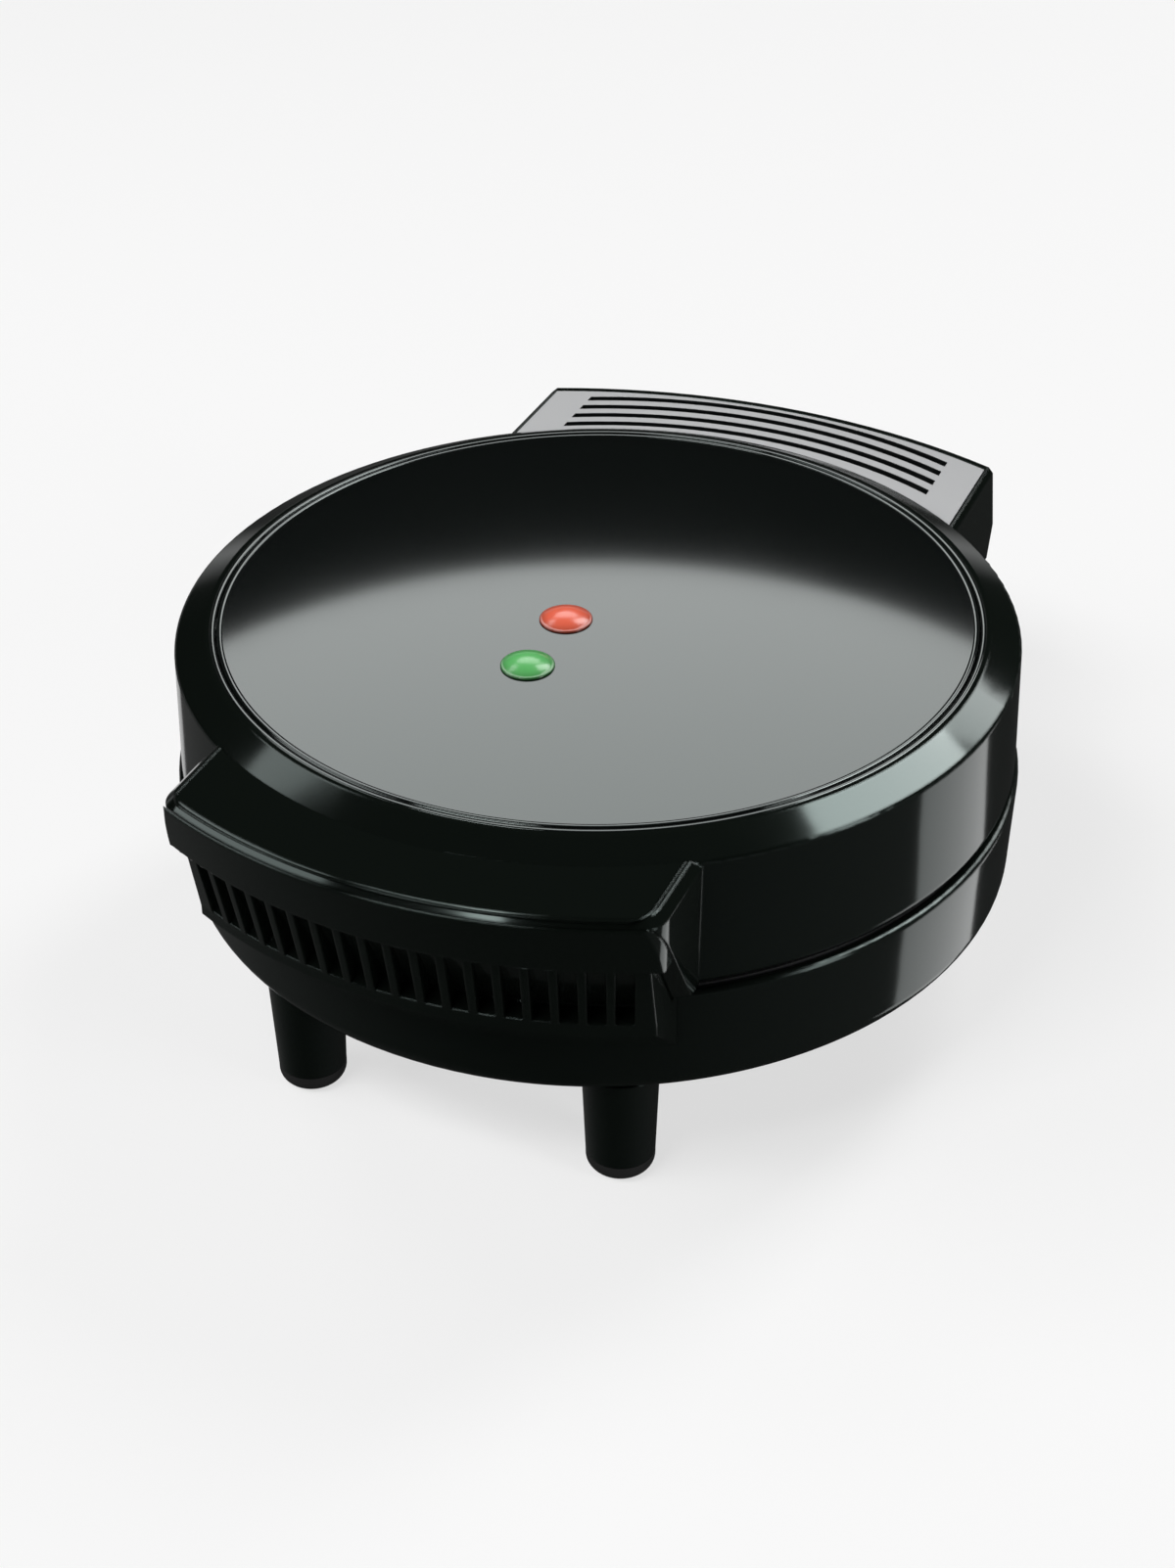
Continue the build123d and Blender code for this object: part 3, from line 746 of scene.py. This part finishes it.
@dataclass
class LampLens(Piece):
    """Domed lens with a rounded rim."""

    rim_height: float = 0.0005
    rim_round: float = 0.00035
    dome_radius: float = 0.0058
    dome_steps: int = 24
    rim_steps: int = 6
    turns: int = 96
    # How bright the lens's painted shade leaves its rim against the middle.
    rim_painted_shade: float = 0.25

    def surface(self) -> Surface:
        """Dome, rim and the stem that goes down through the disc.

        The dome is part of a sphere of radius (a^2 + h^2) / 2h, where a is its
        half width and h its height.

        Returns:
            The lens.
        """
        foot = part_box("lid_disc")[1][2]
        rim_z = foot + self.rim_height
        rise = self.high.z - rim_z
        sphere = (self.dome_radius ** 2 + rise ** 2) / (2 * rise)
        inner = self.dome_radius / self.dome_steps
        radius = np.linspace(inner, self.dome_radius, self.dome_steps)
        dome = np.stack([radius, self.high.z - sphere + np.sqrt(sphere ** 2 - radius ** 2)],
                        axis=-1)
        turn = np.linspace(0, np.pi / 2, self.rim_steps + 1)
        rim = np.stack([self.radius - self.rim_round * (1 - np.sin(turn)),
                        rim_z - self.rim_round * (1 - np.cos(turn))], axis=-1)
        stem = np.array([[self.radius, foot], [self.dome_radius, foot],
                         [self.dome_radius, self.low.z], [inner, self.low.z]])
        profile = np.concatenate([dome, rim, stem])
        return Surface.turned(profile, self.high.z, self.turns, self.centre)

    def material(self) -> bpy.types.Material:
        """Lens colour with painted shade that darkens it towards the rim."""
        return self.shop.lens(self.slot, self.centre, self.radius, self.rim_painted_shade)


@dataclass
class Bead(Piece):
    """A low rounded lip that draws a bright line along an edge."""

    width: float = 0.0013
    rise: float = 0.00022
    sink: float = 0.00003
    steps: int = 8

    stands_for_node: ClassVar[bool] = False

    def section(self) -> np.ndarray:
        """A flat underside and a top that is half an ellipse.

        Point t is (width / 2 cos t, rise sin t), with t from pi down to 0.

        Returns:
            Points across and up, from the foot at minus half the width over the top.
        """
        turn = np.linspace(np.pi, 0.0, self.steps + 1)
        return np.stack([np.cos(turn) * self.width / 2, np.sin(turn) * self.rise], axis=-1)


@dataclass
class RoundBead(Bead):
    """Bead on a circle, offset from the disc's edge and sunk so its feet don't show."""

    offset: float = 0.0
    turns: int = 360

    def surface(self) -> Surface:
        """The section turned about the disc's axis, at the disc's flat edge.

        Returns:
            The bead.
        """
        place = np.array([self.radius + self.offset, self.high.z - GlossDisc.crown - self.sink])
        return Surface.hoop(self.section() + place, self.turns, self.centre)


@dataclass
class HandleBead(Bead):
    """Bead inside the top edge of the handle: sides, corners and bowed front."""

    width: float = 0.0009
    half_width: float = 0.0577
    arc_radius: float = 0.1386
    arc_y: float = 0.0155
    top: float = 0.0955
    corner: float = 0.0068
    back_y: float = -0.0878
    corner_points: int = 12
    bow_points: int = 40

    def half_path(self) -> tuple[np.ndarray, np.ndarray]:
        """Right half of the path, from the back of the side to the front's middle.

        The corner's centre lies one corner radius inside both the side and the
        front arc. The corner turns from facing sideways to facing along the line
        from the arc's centre, and the front arc goes on from there.

        Returns:
            Points across and along from the body's centre, and the ways they face.
        """
        corner_x = self.half_width - self.corner
        inner = self.arc_radius - self.corner
        corner_y = self.arc_y - math.sqrt(inner ** 2 - corner_x ** 2)
        slant = math.asin(corner_x / inner)
        turn = np.concatenate([np.linspace(np.pi / 2, slant, self.corner_points),
                               np.linspace(slant, 0.0, self.bow_points)[1:]])
        facing = np.stack([np.sin(turn), -np.cos(turn)], axis=-1)
        points = np.concatenate([
            np.array([corner_x, corner_y]) + self.corner * facing[:self.corner_points],
            np.array([0.0, self.arc_y]) + self.arc_radius * facing[self.corner_points:]])
        side = np.array([[self.half_width, self.back_y]])
        return np.concatenate([side, points]), np.concatenate([[[1.0, 0.0]], facing])

    def surface(self) -> Surface:
        """The section carried along the half path and its mirror image.

        The path runs from right to left round the front, and side points to its
        right, towards the handle's middle, so this bead's faces look inwards.

        Returns:
            The bead.
        """
        mirror = np.array([-1.0, 1.0])
        halves = [np.concatenate([half, (half * mirror)[-2::-1]]) for half in self.half_path()]
        points = halves[0] + np.array([0.0, self.centre.y])
        level = np.full((len(points), 1), self.top - self.sink)
        side = np.concatenate([-halves[1], np.zeros((len(points), 1))], axis=1)
        return Surface.carried(np.concatenate([points, level], axis=1), side, self.section())


@dataclass(frozen=True)
class Surroundings:
    """What lies past the floor, and what glossy faces see below the horizon.

    In the sky, brightness falls in a straight line from horizon_glow to
    sky_glow where the direction's height reaches sky_top. Below the horizon it
    goes to ground_share of that at ground_depth, and to more by side_share
    times the square of how far the direction goes across. A haze of haze_glow
    at the horizon, gone at haze_top and haze_foot, joins the floor to the sky.
    """

    sky_glow: float = 0.0025
    horizon_glow: float = 0.021
    sky_top: float = 0.24
    ground_share: float = 1.1
    side_share: float = 6.0
    ground_depth: float = 0.25
    haze_glow: float = 0.6
    haze_top: float = 0.10
    haze_foot: float = 0.08

    def build(self) -> None:
        """Make the world."""
        world = bpy.data.worlds.new("surroundings")
        world.use_nodes = True
        graph = Graph(world.node_tree, "Background")
        direction = graph.node("ShaderNodeTexCoord", output="Generated")
        across, height = graph.part(direction, "X"), graph.part(direction, "Z")
        fall = (self.horizon_glow - self.sky_glow) / self.sky_top
        sky = self.horizon_glow - fall * height.clamped(0.0, self.sky_top)
        depth = height.clamped(-self.ground_depth, 0.0) / self.ground_depth
        missing = (1.0 - self.ground_share) - self.side_share * (across * across)
        haze = 1.0 - height.clamped(0.0, self.haze_top) / self.haze_top
        haze = haze * (1.0 + height.clamped(-self.haze_foot, 0.0) / self.haze_foot)
        graph.put("Color", WHITE)
        graph.put("Strength", sky * (1.0 + depth * missing) + self.haze_glow * haze)
        bpy.context.scene.world = world
        bpy.context.scene.view_settings.view_transform = "Standard"


@dataclass(frozen=True)
class Studio:
    """Pale floor, soft lights and the photograph's camera."""

    floor_half: float = 30.0
    floor_colour: Triple = (0.30, 0.30, 0.30)
    floor_glow: float = 0.66
    floor_roughness: float = 0.8
    floor_grain: float = 0.1
    floor_grain_scale: float = 20.0
    floor_detail: float = 2.0
    look_at: Triple = (0.0, 0.0, 0.06)

    def floor(self) -> bpy.types.Object:
        """Plain floor at the table's height, which glossy faces don't see.

        Returns:
            The floor.
        """
        half = self.floor_half
        mesh = bpy.data.meshes.new("floor")
        mesh.from_pydata([(-half, -half, 0), (half, -half, 0), (half, half, 0), (-half, half, 0)],
                         [], [(0, 1, 2, 3)])
        floor = placed("floor", mesh)
        shader = Shader("floor_paper")
        grain = shader.noise(self.floor_grain_scale, self.floor_detail, Grain.EVEN)
        shader.put("Base Color", (*self.floor_colour, 1.0))
        shader.put("Roughness", self.floor_roughness + self.floor_grain * grain)
        shader.put("Emission Color", WHITE)
        shader.put("Emission Strength", self.floor_glow)
        mesh.materials.append(shader.material)
        floor.visible_glossy = False
        return floor

    def softbox(self, box: Softbox) -> bpy.types.Object:
        """One soft light that shines at the object.

        Args:
            box: Its place, size and power.

        Returns:
            The light.
        """
        data = bpy.data.lights.new(box.name, "AREA")
        data.shape = box.shape.value
        data.size, data.size_y = box.width, box.height
        data.energy = box.power
        light = placed(box.name, data)
        azimuth, elevation = math.radians(box.azimuth), math.radians(box.elevation)
        away = Vector((math.sin(azimuth) * math.cos(elevation),
                       -math.cos(azimuth) * math.cos(elevation), math.sin(elevation)))
        light.location = Vector(self.look_at) + away * box.distance
        light.rotation_mode = "QUATERNION"
        light.rotation_quaternion = away.to_track_quat("Z", "Y")
        if box.only:
            lit = bpy.data.collections.new(f"{box.name}_lights")
            for name in box.only:
                lit.objects.link(bpy.data.objects[name])
            light.light_linking.receiver_collection = lit
            if box.through_floor:
                light.light_linking.blocker_collection = lit
        return light

    def camera(self, place: CameraPlace) -> bpy.types.Object:
        """Camera at the photograph's viewing angle.

        Args:
            place: Where it is and what it looks at.

        Returns:
            The camera.
        """
        data = bpy.data.cameras.new("camera")
        data.lens = place.lens
        data.sensor_width = place.sensor
        camera = placed("camera", data)
        camera.location = place.position
        way = Vector(place.target) - Vector(place.position)
        turn = Quaternion((0.0, 0.0, 1.0), math.radians(place.roll))
        camera.rotation_mode = "QUATERNION"
        camera.rotation_quaternion = way.to_track_quat("-Z", "Y") @ turn
        bpy.context.scene.camera = camera
        return camera

    def build(self) -> None:
        """Make the whole studio."""
        self.floor()
        Surroundings().build()
        for box in SOFTBOXES:
            self.softbox(box)
        self.camera(CameraPlace())


class OmeletteMaker:
    """The whole object: CAD nodes with finishes, and the pieces that stand for some.
    """

    disc_lip_offset: float = -0.0009
    lid_lip_offset: float = 0.0010

    def __init__(self, frame: dict[str, Any]) -> None:
        """Keep the nodes and the slot of each."""
        self.nodes = frame["nodes"]
        self.slots = {part["node"]: part["material_slot"] for part in frame["record"]["subparts"]}
        self.shop = FinishShop(FINISHES)

    def dress(self, name: str) -> None:
        """Give a CAD node its finish.

        Args:
            name: The node's name.
        """
        node = self.nodes[name]
        node.data.materials.clear()
        node.data.materials.append(self.shop.get(self.slots[name]))
        LOG.info("%s is finished in %s", name, self.slots[name])

    def pieces(self) -> list[Piece]:
        """List the smooth pieces in the order they are made.

        Returns:
            The disc, its lenses and the three beads, still to be built.
        """
        disc = ("lid_disc", "black_disc", self.shop)
        lenses = [LampLens(f"lamp_lens_{lamp.value}", f"lens_{lamp.value}",
                           f"lens_{lamp.value}", self.shop) for lamp in Lamp]
        return [GlossDisc("gloss_disc", *disc), *lenses,
                RoundBead("disc_lip", *disc, offset=self.disc_lip_offset),
                RoundBead("lid_lip", *disc, offset=self.lid_lip_offset),
                HandleBead("handle_lip", "lid_disc", "black_gloss", self.shop)]

    def build(self) -> None:
        """Finish every node and make the smooth pieces."""
        for name in self.nodes:
            self.dress(name)
        for piece in self.pieces():
            piece.build()


def main() -> None:
    """Build the looks round the frame."""
    logging.basicConfig(level=logging.INFO, format="%(message)s")
    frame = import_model()
    OmeletteMaker(frame).build()
    Studio().build()


if __name__ == "__main__":
    main()
